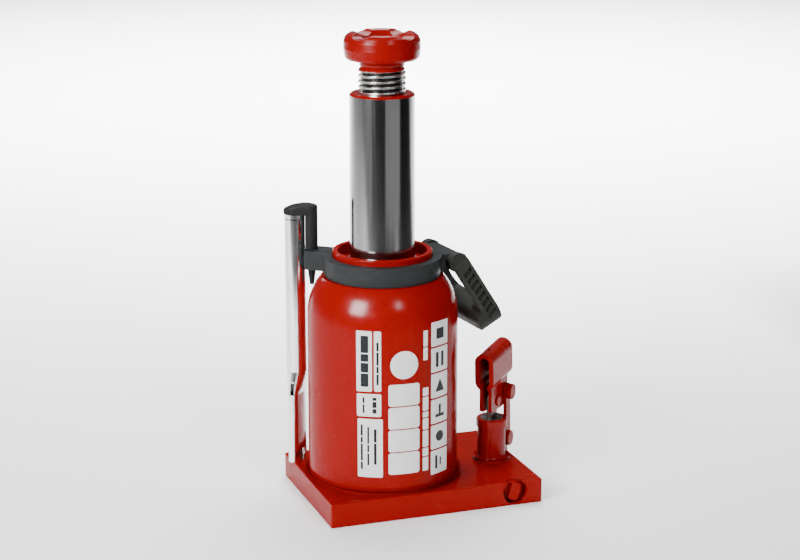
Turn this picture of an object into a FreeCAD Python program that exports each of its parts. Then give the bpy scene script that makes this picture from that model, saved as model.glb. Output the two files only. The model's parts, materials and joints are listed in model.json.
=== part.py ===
"""Hydraulic bottle jack, welded body, with a two-stage lift: a ram and a hand-turned extension screw.

Millimetres, +Z up. The origin is on the ram's axis, at the underside of the base plate.
+X runs along the base towards the pump, and the release valve is in the front (-Y) face.
"""
import FreeCAD, Part
import os
from math import cos, sin, radians, sqrt

V = FreeCAD.Vector
ORIGIN = V(0, 0, 0)
X_AXIS = V(1, 0, 0)
Y_AXIS = V(0, 1, 0)
UP = V(0, 0, 1)

# Fits
RUNNING = 0.05          # radial clearance of a shaft that turns or slides
FREE = 0.3              # gap between bodies that only pass each other
TOUCH = 0.1             # gap under a piece that rests loose on another

# Base plate
BASE_LEFT = -75.0
BASE_RIGHT = 132.0
BASE_HALF_WIDTH = 75.0
BASE_HEIGHT = 22.5
BASE_CORNER = 1.5

# Oil tank, a welded shell round the pressure cylinder
TANK_R = 70.0
TANK_WALL = 4.0
SHOULDER_Z = 177.0      # where the wall starts to close in
SHOULDER_ROUND = 56.6   # radius of the shoulder's arc
TANK_TOP = 213.8
TANK_LIP_R = 49.0
TANK_LIP = 4.0
FOOT_WELD_R = 74.9
FOOT_WELD_TOP = 28.5
FILLER_Z = 165.0
FILLER_R = 6.4
FILLER_BOSS_R = 10.0
FILLER_BOSS_Y = 72.0
LABEL_GAP = 0.05
LABEL_THICKNESS = 0.25

# Pressure cylinder and ram
CYLINDER_R = 46.0
BORE_R = 38.0
SEAT_Z = 13.0           # floor of the cylinder's seat in the base
SEAL_RING = 1.5
CYLINDER_TOP = 200.0
RAM_R = 30.0
RAM_TOP = 383.5         # with the ram fully raised
RAM_CHAMFER = 2.0
PISTON_BOTTOM = 164.0
PISTON_TOP = 183.5
PISTON_FLANGE = 6.5
PISTON_CORE_R = 24.0
RETAINER_START = 1.5    # the retaining ring's groove, above the piston's foot
RETAINER_WIDTH = 1.6
RETAINER_R = 26.5
WASHER_HEIGHT = 2.0
CUP_HEIGHT = 5.9
BACKUP_HEIGHT = 2.0
RAM_BORE_FLOOR = 196.0

# Top nut, which holds the tank down and guides the ram
NUT_R = 46.3
NUT_TOP = 237.5
NUT_SPIGOT_BOTTOM = 184.0
RECESS_R = 41.2
RECESS_FLOOR = 227.5
GLAND_R = 34.0
GLAND_Z = 206.0
GLAND_HEIGHT = 6.0
WIPER_R = 34.5
WIPER_HEIGHT = 4.5
SPANNER_FROM_AXIS = 36.8
SPANNER_HOLE_R = 1.8

# Extension screw and saddle
THREAD_R = 21.7
THREAD_DEPTH = 2.2
THREAD_PITCH = 5.0
THREAD_MOUTH = 4.0
THREAD_FLOOR = 1.2
THREAD_START = 14.0      # above the screw's lower end
THREAD_RUNOUT = 3.5      # below its upper end
SCREW_BORE_R = 22.0
SCREW_BOTTOM = 290.0
SCREW_TOP = 408.0
SPIGOT_R = 12.0
SPIGOT_TOP = 424.0
STOP_GROOVE_R = 17.8
STOP_RING_Z = 296.0
STOP_RING_HEIGHT = 3.0
STOP_RING_R = 21.8
SADDLE_NECK_R = 20.2
SADDLE_BOTTOM = 414.0
SADDLE_R = 35.1
SADDLE_TOP = 438.0
SADDLE_DISH_R = 21.0
SADDLE_DISH_Z = 431.0
CLAW_COUNT = 4
CLAW_ANGLE = 30.0       # direction of the first notch between two claws
CLAW_NOTCH_R = 13.0
CLAW_NOTCH_DEPTH = 4.5

# Collar: a moulded ring on the tank, with a lug for the stored handle and an ear for the bail
COLLAR_INNER_R = 46.6
COLLAR_R = 55.0
COLLAR_FOOT_R = 53.6
COLLAR_BOTTOM = 213.9
COLLAR_TOP = 232.0
LUG_ANGLE = 141.0
LUG_REACH = 75.4
LUG_HALF_WIDTH = 12.5
LUG_BOTTOM = 214.5
LUG_ROUND = 7.0
PEG_RADIUS_FROM_AXIS = 70.4
PEG_HOLE_R = 3.9
EAR_ANGLE = 6.0
EAR_HALF_WIDTH = 23.7
EAR_BOTTOM = 217.0
BAIL_PIVOT_X = 63.0
BAIL_PIVOT_Z = 224.5
BARREL_R = 8.0
SHELF_REACH = 67.5      # the flat top of the ear runs out past the pivot

# Carrying handle, a splayed bail that hangs from the ear
BAIL_PIN_R = 4.0
BAIL_PIN_LENGTH = 9.0
BAIL_LEG_INNER = 24.0
BAIL_LEG_OUTER = 33.0
BAIL_EYE_R = 9.3
BAIL_CORNER = V(6.6, 0, 7.5)    # the eye's squared upper corner, from the pivot, as the bail hangs
BAIL_ANGLE = 62.6       # the legs' slope below the horizontal as it hangs
BAIL_LENGTH = 68.0
BAIL_SPLAY = 23.0       # how much further out each leg is at the grip than at its eye
BAIL_OUTER_ROUND = 15.0
BAIL_INNER_ROUND = 14.0
LEG_LOW = -6.5
LEG_HIGH = 9.8
LEG_EASE = 2.5
GRIP_START = 48.0
GRIP_LOW = -15.0
GRIP_ROUND = 7.8
POCKET_DEPTH = 3.5
POCKET_START = 8.0
POCKET_END = 54.0
POCKET_LOW = -2.4
POCKET_HIGH = 6.8
RIB_COUNT = 7
RIB_WIDTH = 1.5
RIB_LEAN = 2.6          # how far a rib's lower end lies behind its upper end

# Stored pump handle: an outer tube with a flattened end, an inner tube and a cap with a peg
HANDLE_FROM_AXIS = 87.0
HANDLE_R = 10.0
HANDLE_WALL = 1.5
HANDLE_TOP = 264.5
FLAT_TOP = 90.0         # below this the tube is fully flattened
ROUND_BOTTOM = 112.0    # above this it is fully round
FLAT_LENGTH = 25.7
FLAT_THICKNESS = 10.0
FLAT_ANGLE = 45.0
SLOT_ANGLE = -130.0
SLOT_BOTTOM = 89.0
SLOT_TOP = 103.0
SLOT_WIDTH = 3.5
KEY_SLOT_WIDTH = 10.5
KEY_SLOT_DEPTH = 11.0
INNER_R = 8.42
INNER_WALL = 1.4
INNER_BOTTOM = 116.0
CAP_R = 10.6
CAP_HIGH = 275.0
CAP_DOME_R = 47.6
CAP_DOME_FROM_AXIS = 75.0
CAP_ROUND = 2.4
COLUMN_R = 5.9
PEG_R = 3.8
PEG_BOTTOM = 198.0
PEG_TAPER_TOP = 212.0
PEG_TIP_R = 2.0
PLUG_DEPTH = 20.0

# Pump, with its axis beside the tank; the lever points away from it at LEVER_ANGLE
PUMP_X = 108.0
PUMP_Y = -6.5
LEVER_ANGLE = 47.0
PUMP_R = 13.5
PUMP_BORE_R = 8.0
PUMP_TOP = 56.7
PUMP_WELD_R = 18.0
PUMP_WELD_TOP = 27.0
GLAND_NUT_R = 14.8
GLAND_NUT_TOP = 64.5
CHAMBER_R = 9.0
CHAMBER_FLOOR = 11.0
PLUNGER_BOTTOM = 14.0
PLUNGER_SHOULDER = 64.4
PLUNGER_SEAL_R = 6.0
PLUNGER_SEAL_LOW = 26.0
PLUNGER_SEAL_HIGH = 29.0
EYE_HALF = 2.6
EYE_R = 7.0
LUG_FULL_HALF = 6.0
LUG_BACK = 28.0

# Lever and its linkage: distances along the lever from the pump's axis, and heights
PLUNGER_PIN_Z = 82.0
PLUNGER_PIN_R = 4.5
FULCRUM_S = 19.0
FULCRUM_Z = 86.0
FULCRUM_PIN_R = 5.0
ANCHOR_S = 21.5
ANCHOR_Z = 38.0
ANCHOR_PIN_R = 5.0
PIN_HEAD_R = 7.5
LINK_INNER = 6.4
LINK_OUTER = 9.4
LINK_HALF_WIDTH = 5.5
LINK_EYE_R = 8.0
LINK_SLACK = 0.7        # the fulcrum pin's free play in the links, where the linkage is opened
LINK_EYE_OFFSET = 0.5
SOCKET_FRONT = -21.0
SOCKET_BACK = 30.0
SOCKET_HALF = 9.4
SOCKET_WALL = 4.4
SOCKET_END_WALL = 5.0
SOCKET_TOP = 134.4
SOCKET_LOW = 97.0
SOCKET_TILT = 3.8       # the socket rises towards its back
SOCKET_TILT_Z = 114.0
CHEEK_INNER = 2.9
CHEEK_OUTER = 6.1
CHEEK_FRONT = -16.5
CHEEK_BACK = 25.5
CHEEK_BOTTOM = 73.0
CHEEK_ROUND = 4.0
SOCKET_DIMPLE_S = -9.0
SOCKET_DIMPLE_R = 1.9

# Release valve, in the front face of the base
VALVE_X = 105.0
VALVE_Z = 12.8
VALVE_RECESS_R = 12.0
VALVE_RECESS_DEPTH = 9.0
VALVE_R = 6.0
VALVE_BORE_END = -45.0
VALVE_SEAT_Y = -41.0
VALVE_HEAD_R = 8.6
TANG_WIDTH = 9.6
TANG_TILT = 14.0
RELEASE_BALL_R = 3.5
RELEASE_BALL_PLAY = 0.5
RELEASE_SEAT_R = 2.0
ORING_Y = -61.0
ORING_WIDTH = 2.6
ORING_INNER_R = 4.9
ORING_OUTER_R = 6.2

# Drillings in the base
DRILL_R = 2.2
DRILL_Z = 5.5
PLUG_R = 4.0
PLUG_LENGTH = 8.0
SUCTION_Y = PUMP_Y + 4.0
DELIVERY_Y = PUMP_Y - 5.0
SUCTION_TANK_X = 56.0
DELIVERY_X = 24.0
RELEASE_Y = -28.0
RELEASE_X = 18.0
RETURN_Y = -50.0
RETURN_X = 31.0
CHECK_BALL_R = 2.5
CHECK_POCKET_R = 3.6
CHECK_POCKET_FLOOR = 8.0
RELIEF_Z = 15.0
RELIEF_R = 4.5
RELIEF_SEAT_Y = 40.0
RELIEF_BALL_R = 3.0
RELIEF_SEAT_R = 1.5
RELIEF_RETURN_Y = 52.0


# ---------------------------------------------------------------- helpers

def export(shape, name):
    """Write one sub-part, after checking that it is a sound solid."""
    assert shape.isValid(), name
    shape.exportStep("parts/%s.step" % name)


def rod(radius, start, end):
    """A round bar between two points."""
    along = end - start
    return Part.makeCylinder(radius, along.Length, start, along)


def upright(radius, low, high, x=0.0, y=0.0):
    return Part.makeCylinder(radius, high - low, V(x, y, low))


def ring(inner, outer, low, high, x=0.0, y=0.0):
    return upright(outer, low, high, x, y).cut(upright(inner, low - 1, high + 1, x, y))


def revolve(points, x=0.0, y=0.0):
    """Turn a closed outline of (radius, height) points about an upright axis."""
    outline = Part.makePolygon([V(r, 0, z) for r, z in points + points[:1]])
    solid = Part.Face(outline).revolve(ORIGIN, UP, 360)
    solid.translate(V(x, y, 0))
    return solid


def block(low, high):
    size = high - low
    return Part.makeBox(size.x, size.y, size.z, low)


def turned(shape, degrees, centre=ORIGIN, axis=UP):
    copy = shape.copy()
    copy.rotate(centre, axis, degrees)
    return copy


def polar(radius, degrees, z=0.0):
    return V(radius * cos(radians(degrees)), radius * sin(radians(degrees)), z)


def rounded_slab(radius, ends, thickness, origin, normal):
    """A plate with round ends about the two given centres."""
    start, end = ends
    along = (end - start).normalize()
    across = normal.cross(along).normalize()
    side_a = Part.makeLine(start + across * radius, end + across * radius)
    cap_b = Part.Arc(end + across * radius, end + along * radius, end - across * radius).toShape()
    side_b = Part.makeLine(end - across * radius, start - across * radius)
    cap_a = Part.Arc(start - across * radius, start - along * radius, start + across * radius).toShape()
    plate = Part.Face(Part.Wire([side_a, cap_b, side_b, cap_a])).extrude(normal * thickness)
    plate.translate(origin)
    return plate


def in_collar_frame(shape):
    """Turn a shape built along +X to the direction of the collar's ear."""
    return turned(shape, EAR_ANGLE)


def in_pump_frame(shape):
    """Move a shape built about the Z axis, with the lever along +X, to the pump."""
    placed = turned(shape, LEVER_ANGLE)
    placed.translate(V(PUMP_X, PUMP_Y, 0))
    return placed


def cross_pin(radius, s, z, start, end):
    """A pin across the lever, in the pump's own frame."""
    return rod(radius, V(s, start, z), V(s, end, z))


# ---------------------------------------------------------------- base

def base_plate():
    low = V(BASE_LEFT, -BASE_HALF_WIDTH, 0)
    high = V(BASE_RIGHT, BASE_HALF_WIDTH, BASE_HEIGHT)
    plate = block(low, high)
    corners = [e for e in plate.Edges if e.BoundBox.ZLength > BASE_HEIGHT - 0.01]
    plate = plate.makeFillet(BASE_CORNER, corners)
    top_rim = [e for e in plate.Edges if e.BoundBox.ZMin > BASE_HEIGHT - 0.01]
    plate = plate.makeChamfer(0.6, top_rim)
    cuts = [upright(CYLINDER_R, SEAT_Z, BASE_HEIGHT + 1),
            upright(CHAMBER_R, CHAMBER_FLOOR, BASE_HEIGHT + 1, PUMP_X, PUMP_Y)]
    cuts += suction_drillings() + delivery_drillings() + release_drillings() + relief_drillings()
    for cut in cuts:
        plate = plate.cut(cut)
    return plate


def edge_drilling(y, z, inner_x):
    """A hole drilled in from the base's right edge, with a wider mouth for its plug."""
    hole = rod(DRILL_R, V(inner_x, y, z), V(BASE_RIGHT - 1, y, z))
    mouth = rod(PLUG_R, V(BASE_RIGHT - PLUG_LENGTH, y, z), V(BASE_RIGHT + 1, y, z))
    return hole.fuse(mouth)


def riser(x, y, low, high, radius=DRILL_R):
    return upright(radius, low, high, x, y)


def suction_drillings():
    return [edge_drilling(SUCTION_Y, DRILL_Z, SUCTION_TANK_X),
            riser(SUCTION_TANK_X, SUCTION_Y, DRILL_Z, BASE_HEIGHT + 1),
            riser(PUMP_X, SUCTION_Y, DRILL_Z, CHAMBER_FLOOR, 2.0),
            riser(PUMP_X, SUCTION_Y, CHECK_POCKET_FLOOR, CHAMBER_FLOOR + 1, CHECK_POCKET_R)]


def delivery_drillings():
    return [edge_drilling(DELIVERY_Y, DRILL_Z, DELIVERY_X),
            riser(PUMP_X, DELIVERY_Y, DRILL_Z, CHAMBER_FLOOR + 1, 1.6),
            riser(DELIVERY_X, DELIVERY_Y, DRILL_Z, SEAT_Z, 2.0),
            riser(DELIVERY_X, DELIVERY_Y, CHECK_POCKET_FLOOR, SEAT_Z + 1, CHECK_POCKET_R)]


def release_drillings():
    front = -BASE_HALF_WIDTH

    def at(y):
        return V(VALVE_X, y, VALVE_Z)

    recess = rod(VALVE_RECESS_R, at(front - 1), at(front + VALVE_RECESS_DEPTH))
    bore = rod(VALVE_R + FREE, at(front), at(VALVE_BORE_END))
    chamber = rod(RELEASE_BALL_R + RELEASE_BALL_PLAY, at(VALVE_BORE_END - 1), at(VALVE_SEAT_Y))
    seat = rod(RELEASE_SEAT_R, at(VALVE_SEAT_Y - 1), at(RELEASE_Y))
    return [recess, bore, chamber, seat,
            riser(VALVE_X, RELEASE_Y, DRILL_Z, VALVE_Z, RELEASE_SEAT_R),
            edge_drilling(RELEASE_Y, DRILL_Z, RELEASE_X),
            riser(RELEASE_X, RELEASE_Y, DRILL_Z, SEAT_Z + 1),
            edge_drilling(RETURN_Y, VALVE_Z, RETURN_X),
            riser(RETURN_X, RETURN_Y, VALVE_Z, BASE_HEIGHT + 1)]


def relief_drillings():

    def at(y):
        return V(PUMP_X, y, RELIEF_Z)

    bore = rod(RELIEF_R, at(RELIEF_SEAT_Y), at(BASE_HALF_WIDTH + 1))
    seat = rod(RELIEF_SEAT_R, at(PUMP_Y), at(RELIEF_SEAT_Y + 1))
    return [bore, seat,
            edge_drilling(RELIEF_RETURN_Y, RELIEF_Z, RETURN_X - 2),
            riser(RETURN_X - 2, RELIEF_RETURN_Y, RELIEF_Z, BASE_HEIGHT + 1)]


def passage_plugs():
    """The press-in plugs that close the drillings at the base's right edge."""
    places = [(SUCTION_Y, DRILL_Z), (DELIVERY_Y, DRILL_Z), (RELEASE_Y, DRILL_Z),
              (RETURN_Y, VALVE_Z), (RELIEF_RETURN_Y, RELIEF_Z)]
    inner = BASE_RIGHT - PLUG_LENGTH
    return Part.makeCompound([rod(PLUG_R, V(inner, y, z), V(BASE_RIGHT - 1.0, y, z)) for y, z in places])


def seated_ball(radius, hole_radius, x, y, seat_z):
    return Part.makeSphere(radius, V(x, y, seat_z + sqrt(radius ** 2 - hole_radius ** 2) + 0.01))


def valve_clip(x, y, z):
    """A flat ring that keeps a check ball in its pocket."""
    return ring(1.6, CHECK_POCKET_R, z, z + 0.6, x, y)


def release_ball():
    reach = sqrt(RELEASE_BALL_R ** 2 - RELEASE_SEAT_R ** 2) + 0.01
    return Part.makeSphere(RELEASE_BALL_R, V(VALVE_X, VALVE_SEAT_Y - reach, VALVE_Z))


def relief_ball():
    reach = sqrt(RELIEF_BALL_R ** 2 - RELIEF_SEAT_R ** 2) + 0.01
    return Part.makeSphere(RELIEF_BALL_R, V(PUMP_X, RELIEF_SEAT_Y + reach, RELIEF_Z))


def coil_spring(wire_radius, coil_radius, start, direction, length, pitch):
    helix = Part.makeHelix(pitch, length, coil_radius)
    profile = Part.Wire(Part.makeCircle(wire_radius, V(coil_radius, 0, 0), Y_AXIS))
    spring = Part.Wire(helix).makePipeShell([profile], True, True)
    spring.Placement = FreeCAD.Placement(start, FreeCAD.Rotation(UP, direction))
    return spring


def relief_spring():
    return coil_spring(0.6, 3.0, V(PUMP_X, RELIEF_SEAT_Y + 7.0, RELIEF_Z), Y_AXIS, 12.0, 2.4)


def relief_screw():
    start = RELIEF_SEAT_Y + 20.5
    body = rod(RELIEF_R, V(PUMP_X, start, RELIEF_Z), V(PUMP_X, start + 10, RELIEF_Z))
    slot = block(V(PUMP_X - 5, start + 8, RELIEF_Z - 0.6), V(PUMP_X + 5, start + 11, RELIEF_Z + 0.6))
    return body.cut(slot)


# ---------------------------------------------------------------- tank and cylinder

def tank_shell():
    """The tank's wall, with the shoulder as two concentric arcs, and the weld round its foot."""
    centre_x = TANK_R - SHOULDER_ROUND
    rise = TANK_TOP - SHOULDER_Z

    def arc(radius, height):
        return centre_x + sqrt(radius ** 2 - height ** 2)

    inner_round = SHOULDER_ROUND - TANK_WALL
    inner_rise = rise - TANK_LIP
    outer_end = V(arc(SHOULDER_ROUND, rise), 0, TANK_TOP)
    outer_mid = V(arc(SHOULDER_ROUND, rise / 2), 0, SHOULDER_Z + rise / 2)
    inner_end = V(arc(inner_round, inner_rise), 0, TANK_TOP - TANK_LIP)
    inner_mid = V(arc(inner_round, inner_rise / 2), 0, SHOULDER_Z + inner_rise / 2)
    inner_r = TANK_R - TANK_WALL
    foot = [V(inner_r, 0, BASE_HEIGHT), V(FOOT_WELD_R, 0, BASE_HEIGHT)]
    weld_mid = V(TANK_R + 1.9, 0, BASE_HEIGHT + 2.2)
    weld_top = V(TANK_R, 0, FOOT_WELD_TOP)
    edges = [Part.makeLine(foot[0], foot[1]),
             Part.Arc(foot[1], weld_mid, weld_top).toShape(),
             Part.makeLine(weld_top, V(TANK_R, 0, SHOULDER_Z)),
             Part.Arc(V(TANK_R, 0, SHOULDER_Z), outer_mid, outer_end).toShape(),
             Part.makeLine(outer_end, V(TANK_LIP_R, 0, TANK_TOP)),
             Part.makeLine(V(TANK_LIP_R, 0, TANK_TOP), V(TANK_LIP_R, 0, TANK_TOP - TANK_LIP)),
             Part.makeLine(V(TANK_LIP_R, 0, TANK_TOP - TANK_LIP), inner_end),
             Part.Arc(inner_end, inner_mid, V(inner_r, 0, SHOULDER_Z)).toShape(),
             Part.makeLine(V(inner_r, 0, SHOULDER_Z), foot[0])]
    return Part.Face(Part.Wire(edges)).revolve(ORIGIN, UP, 360)


def reservoir_tank():
    boss = rod(FILLER_BOSS_R, V(0, TANK_R - 3, FILLER_Z), V(0, FILLER_BOSS_Y, FILLER_Z))
    hole = rod(FILLER_R, V(0, TANK_R - 10, FILLER_Z), V(0, FILLER_BOSS_Y + 1, FILLER_Z))
    return tank_shell().fuse(boss).removeSplitter().cut(hole)


def filler_plug():
    stem = rod(FILLER_R, V(0, TANK_R - 6, FILLER_Z), V(0, FILLER_BOSS_Y, FILLER_Z))
    barb = Part.makeCone(FILLER_R - 1.2, FILLER_R + 1.0, 3.5, V(0, TANK_R - 9.5, FILLER_Z), Y_AXIS)
    head = rod(FILLER_R + 3.0, V(0, FILLER_BOSS_Y, FILLER_Z), V(0, FILLER_BOSS_Y + 2.5, FILLER_Z))
    edge = [e for e in head.Edges if e.BoundBox.YMin > FILLER_BOSS_Y + 2.4]
    return stem.fuse([barb, head.makeFillet(0.8, edge)]).removeSplitter()


def cylinder_tube():
    return ring(BORE_R, CYLINDER_R, SEAT_Z + SEAL_RING, CYLINDER_TOP)


def cylinder_foot_seal():
    return ring(BORE_R + 0.5, CYLINDER_R, SEAT_Z, SEAT_Z + SEAL_RING)


def tank_seal():
    return ring(NUT_R, TANK_LIP_R, TANK_TOP - TANK_LIP, TANK_TOP)


def top_nut():
    guide = RAM_R + RUNNING
    nut = revolve([(guide, NUT_SPIGOT_BOTTOM), (BORE_R, NUT_SPIGOT_BOTTOM), (BORE_R, CYLINDER_TOP),
                   (NUT_R, CYLINDER_TOP), (NUT_R, NUT_TOP - 1.0), (NUT_R - 1.0, NUT_TOP),
                   (RECESS_R + 0.8, NUT_TOP), (RECESS_R, NUT_TOP - 0.8), (RECESS_R, RECESS_FLOOR),
                   (guide, RECESS_FLOOR)])
    rod_gland = ring(guide - 1, GLAND_R, GLAND_Z, GLAND_Z + GLAND_HEIGHT)
    wiper_gland = ring(guide - 1, WIPER_R, RECESS_FLOOR - WIPER_HEIGHT, RECESS_FLOOR + 1)
    places = [polar(SPANNER_FROM_AXIS, angle) for angle in (45, 225)]
    spanner_holes = [riser(at.x, at.y, RECESS_FLOOR - 3, RECESS_FLOOR + 1, SPANNER_HOLE_R) for at in places]
    return nut.cut([rod_gland, wiper_gland] + spanner_holes)


def rod_seal():
    inner = RAM_R + TOUCH
    low = GLAND_Z
    high = GLAND_Z + GLAND_HEIGHT
    return revolve([(inner, low), (GLAND_R, low), (GLAND_R, high), (inner + 2.6, high),
                    (inner + 1.9, high - 2.0), (inner, high - 0.4)])


def wiper_ring():
    inner = RAM_R + TOUCH
    low = RECESS_FLOOR - WIPER_HEIGHT
    return revolve([(inner, low), (WIPER_R, low), (WIPER_R, RECESS_FLOOR), (inner + 2.4, RECESS_FLOOR),
                    (inner + 0.9, RECESS_FLOOR + 2.2), (inner, RECESS_FLOOR + 1.8)])


# ---------------------------------------------------------------- ram

def ram():
    """A hollow ram whose lower end carries the piston's seals between two flanges."""
    core = PISTON_CORE_R
    flange = BORE_R - FREE
    flange_low = PISTON_TOP - PISTON_FLANGE
    outline = [(0, PISTON_BOTTOM), (core, PISTON_BOTTOM), (core, flange_low), (flange, flange_low),
               (flange, PISTON_TOP), (RAM_R, PISTON_TOP), (RAM_R, RAM_TOP - RAM_CHAMFER),
               (RAM_R - RAM_CHAMFER, RAM_TOP), (SCREW_BORE_R, RAM_TOP), (SCREW_BORE_R, RAM_BORE_FLOOR),
               (0, RAM_BORE_FLOOR)]
    groove_low = PISTON_BOTTOM + RETAINER_START
    groove = ring(core - RETAINER_WIDTH, core + 1, groove_low, groove_low + RETAINER_WIDTH)
    return revolve(outline).cut(groove)


def piston_retaining_ring():
    low = PISTON_BOTTOM + RETAINER_START
    full = ring(PISTON_CORE_R - RETAINER_WIDTH, RETAINER_R, low, low + RETAINER_WIDTH)
    return full.cut(block(V(15, -2.5, PISTON_BOTTOM), V(30, 2.5, low + 5)))


def piston_washer():
    low = PISTON_BOTTOM + RETAINER_START + RETAINER_WIDTH
    return ring(PISTON_CORE_R, BORE_R - FREE, low, low + WASHER_HEIGHT)


def piston_cup():
    low = PISTON_BOTTOM + RETAINER_START + RETAINER_WIDTH + WASHER_HEIGHT
    high = low + CUP_HEIGHT
    outer = BORE_R - TOUCH
    return revolve([(PISTON_CORE_R, low), (outer - 3, low + 0.1), (outer, low + 0.6),
                    (outer, high), (PISTON_CORE_R, high)])


def piston_backup_ring():
    low = PISTON_BOTTOM + RETAINER_START + RETAINER_WIDTH + WASHER_HEIGHT + CUP_HEIGHT
    return ring(PISTON_CORE_R, BORE_R - TOUCH, low, low + BACKUP_HEIGHT)


# ---------------------------------------------------------------- extension screw

def thread_groove():
    """The cutter for the rounded screw thread: a helical V with a flat floor."""
    start = SCREW_BOTTOM + THREAD_START
    root_r = THREAD_R - THREAD_DEPTH
    helix = Part.makeHelix(THREAD_PITCH, SCREW_TOP - THREAD_RUNOUT - start, root_r)
    crest = THREAD_R + 0.6
    half_mouth = THREAD_MOUTH / 2
    half_floor = THREAD_FLOOR / 2
    points = [V(root_r, 0, -half_floor), V(crest, 0, -half_mouth),
              V(crest, 0, half_mouth), V(root_r, 0, half_floor)]
    profile = Part.makePolygon(points + points[:1])
    cutter = Part.Wire(helix).makePipeShell([profile], True, True)
    cutter.translate(V(0, 0, start))
    return cutter


def extension_screw():
    """A threaded bar with chamfered ends, a groove for its stop ring and a spigot for the saddle."""
    bar = upright(THREAD_R, SCREW_BOTTOM, SCREW_TOP).cut(thread_groove())
    ends = revolve([(0, SCREW_BOTTOM), (THREAD_R - 2, SCREW_BOTTOM), (THREAD_R + 0.5, SCREW_BOTTOM + 2.5),
                    (THREAD_R + 0.5, SCREW_TOP - 4), (SADDLE_NECK_R - 1.5, SCREW_TOP - 0.5),
                    (SADDLE_NECK_R - 1.5, SCREW_TOP), (0, SCREW_TOP)])
    groove = ring(STOP_GROOVE_R, THREAD_R + 1, STOP_RING_Z, STOP_RING_Z + STOP_RING_HEIGHT)
    return bar.common(ends).cut(groove).fuse(upright(SPIGOT_R, SCREW_TOP - 1, SPIGOT_TOP))


def screw_stop_ring():
    """The ring in the screw's lower groove that keeps it from being wound right out of the ram."""
    top = STOP_RING_Z + STOP_RING_HEIGHT
    full = ring(STOP_GROOVE_R + RUNNING, STOP_RING_R, STOP_RING_Z + TOUCH, top - TOUCH)
    return full.cut(block(V(0, -2, STOP_RING_Z), V(30, 2, top)))


def saddle():
    """The cast head: a flared neck, a drum and a dished top whose rim is cut into claws."""
    neck = SADDLE_NECK_R
    body = revolve([(SPIGOT_R, SCREW_TOP), (neck, SCREW_TOP), (neck + 0.6, SCREW_TOP + 2.5),
                    (neck + 4.5, SADDLE_BOTTOM - 1.2), (SADDLE_R - 3.2, SADDLE_BOTTOM),
                    (SADDLE_R - 1.2, SADDLE_BOTTOM + 2.2), (SADDLE_R, SADDLE_BOTTOM + 10.0),
                    (SADDLE_R - 0.3, SADDLE_BOTTOM + 17.0), (SADDLE_R - 1.8, SADDLE_TOP - 3.2),
                    (SADDLE_R - 5.0, SADDLE_TOP - 0.6), (SADDLE_R - 8.0, SADDLE_TOP),
                    (SADDLE_DISH_R + 1.5, SADDLE_TOP - 1.2), (SADDLE_DISH_R - 3.0, SADDLE_DISH_Z),
                    (0, SADDLE_DISH_Z), (0, SPIGOT_TOP), (SPIGOT_R, SPIGOT_TOP)])
    for index in range(CLAW_COUNT):
        angle = CLAW_ANGLE + index * 360.0 / CLAW_COUNT
        height = SADDLE_TOP - CLAW_NOTCH_DEPTH + CLAW_NOTCH_R
        notch = rod(CLAW_NOTCH_R, polar(12.0, angle, height - 1.5), polar(45.0, angle, height + 1.0))
        body = body.cut(notch)
    return body


# ---------------------------------------------------------------- collar and carrying handle

def collar():
    band = Part.makeCone(COLLAR_FOOT_R, COLLAR_R, COLLAR_TOP - COLLAR_BOTTOM, V(0, 0, COLLAR_BOTTOM))
    lug = block(V(COLLAR_R - 8, -LUG_HALF_WIDTH, LUG_BOTTOM), V(LUG_REACH, LUG_HALF_WIDTH, COLLAR_TOP))
    outer_edges = [e for e in lug.Edges if e.BoundBox.XMin > LUG_REACH - 0.01 and e.BoundBox.ZLength > 5]
    lug = turned(lug.makeFillet(LUG_ROUND, outer_edges), LUG_ANGLE)
    bore = upright(COLLAR_INNER_R, COLLAR_BOTTOM - 1, COLLAR_TOP + 1)
    peg = polar(PEG_RADIUS_FROM_AXIS, LUG_ANGLE)
    peg_hole = upright(PEG_HOLE_R, LUG_BOTTOM - 1, COLLAR_TOP + 1, peg.x, peg.y)
    return band.fuse([lug, in_collar_frame(ear())]).removeSplitter().cut([bore, peg_hole])


def ear():
    """The right-hand ear: a flat arm whose end is the barrel for the carrying handle's pins."""
    width = EAR_HALF_WIDTH
    arm = block(V(COLLAR_R - 12, -width, EAR_BOTTOM), V(BAIL_PIVOT_X, width, COLLAR_TOP))
    shelf = block(V(BAIL_PIVOT_X - 1, -width, BAIL_PIVOT_Z), V(SHELF_REACH, width, COLLAR_TOP))
    start = V(BAIL_PIVOT_X, -EAR_HALF_WIDTH, BAIL_PIVOT_Z)
    end = V(BAIL_PIVOT_X, EAR_HALF_WIDTH, BAIL_PIVOT_Z)
    hole_depth = BAIL_PIN_LENGTH + 1
    holes = [rod(BAIL_PIN_R + RUNNING, start - Y_AXIS, start + Y_AXIS * hole_depth),
             rod(BAIL_PIN_R + RUNNING, end + Y_AXIS, end - Y_AXIS * hole_depth)]
    barrel = rod(BARREL_R, start, end).common(block(V(0, -100, 0), V(100, 100, COLLAR_TOP)))
    return arm.fuse([shelf, barrel]).removeSplitter().cut(holes)


def bail_half_width(along, at_eye):
    """How far from the middle a leg's face lies, at a distance along the bail."""
    return at_eye + BAIL_SPLAY * along / BAIL_LENGTH


def bail_plan(start, end, at_eye, corner, floor):
    """A splayed plate up to the bail's outer side, with its two far corners rounded."""
    low = bail_half_width(start, at_eye)
    high = bail_half_width(end, at_eye)
    points = [V(start, -low, floor), V(end, -high, floor), V(end, high, floor), V(start, low, floor)]
    plate = Part.Face(Part.makePolygon(points + points[:1])).extrude(V(0, 0, LEG_HIGH - floor))
    far = [e for e in plate.Edges if e.BoundBox.XMin > end - 0.01 and e.BoundBox.ZLength > 5]
    return plate.makeFillet(corner, far)


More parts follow.
